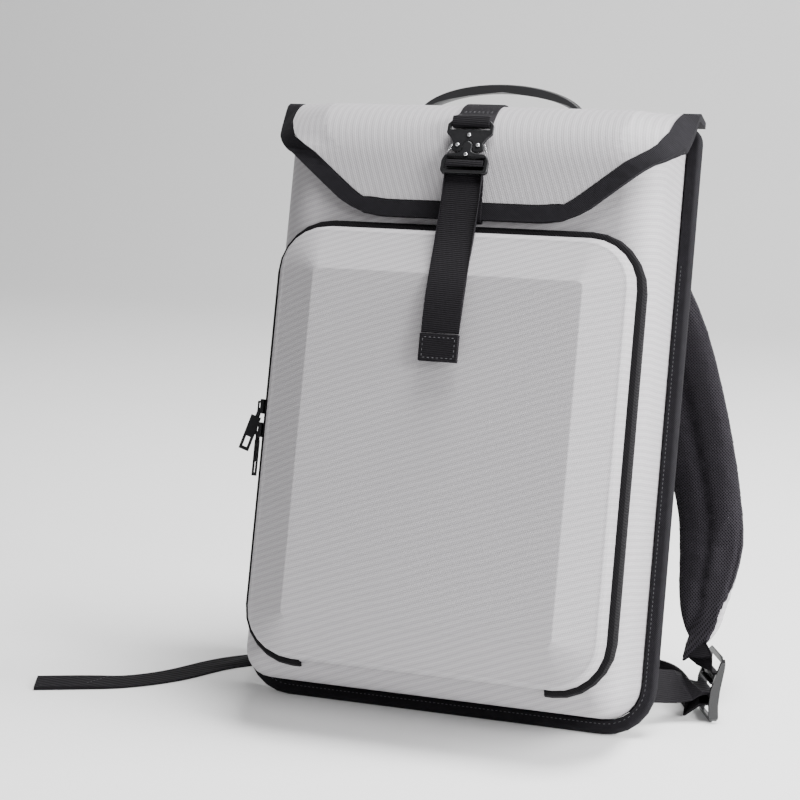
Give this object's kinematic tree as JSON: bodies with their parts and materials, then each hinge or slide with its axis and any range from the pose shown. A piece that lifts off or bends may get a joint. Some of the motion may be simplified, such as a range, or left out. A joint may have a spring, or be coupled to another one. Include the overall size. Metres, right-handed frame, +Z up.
{
  "type": "hard shell backpack",
  "caption": "Hard shell backpack with a zipped raised front pocket, a cut-corner flap closed by a strap and metal buckle, an arched carry handle and padded shoulder straps.",
  "frame": {"origin": "middle of the flat that the floor presses on the rear rim's lower edge, on the floor", "axes": "+X to the right of someone who faces the pocket, -Y towards that person, +Z up from the floor; the bag leans back 15 degrees about X"},
  "size_m": [0.5283, 0.2399, 0.4676],
  "materials": {
    "shell_cloth": "fine diagonal weave over a moulded shell, satin",
    "hinge_cloth": "plain grey weave",
    "flap_cloth": "fine diagonal weave on a padded panel",
    "binding": "black twill tape",
    "webbing": "black woven webbing",
    "mesh": "black open mesh over foam",
    "zip": "black zip tape and coil",
    "black_metal": "black satin coating",
    "steel": "bright steel",
    "handle_grip": "black moulded grip, satin",
    "black_plastic": "glossy black moulding"
  },
  "bodies": {
    "bag": {"body_shell": "shell_cloth", "back_panel": "mesh", "rim_binding": "binding", "pocket_shell": "shell_cloth", "pocket_zip": "zip", "pocket_hinge": "hinge_cloth", "flap": "flap_cloth", "flap_binding": "binding", "closing_strap_upper": "webbing", "closing_strap_anchor": "webbing", "closing_strap_lower": "webbing", "closing_strap_end": "webbing", "buckle_plate": "black_metal", "buckle_frame": "black_metal", "buckle_slide": "black_metal", "buckle_lever_left": "steel", "buckle_lever_right": "steel", "buckle_rivet_1": "steel", "buckle_rivet_2": "steel", "buckle_rivet_3": "steel", "buckle_rivet_4": "steel", "carry_handle": "handle_grip", "zip_slider_1": "black_metal", "zip_slider_2": "black_metal", "shoulder_strap_left": "mesh", "strap_tab_left": "webbing", "strap_webbing_left": "webbing", "ladder_lock_left": "black_plastic", "shoulder_strap_right": "mesh", "strap_tab_right": "webbing", "strap_webbing_right": "webbing", "ladder_lock_right": "black_plastic"},
    "upper_zip_pull": {"zip_pull_1": "black_metal"},
    "lower_zip_pull": {"zip_pull_2": "black_metal"}
  },
  "joints": [
    {"name": "zip_pull_1_swing", "type": "hinge", "parent": "bag", "child": "upper_zip_pull", "pos_m": [-0.14352, -0.01196, 0.22605], "axis": [0, 0.9659, -0.2588], "range_deg": [0, 130]},
    {"name": "zip_pull_2_swing", "type": "hinge", "parent": "bag", "child": "lower_zip_pull", "pos_m": [-0.14352, -0.01649, 0.20915], "axis": [0, 0.9659, -0.2588], "range_deg": [0, 12]}
  ]
}
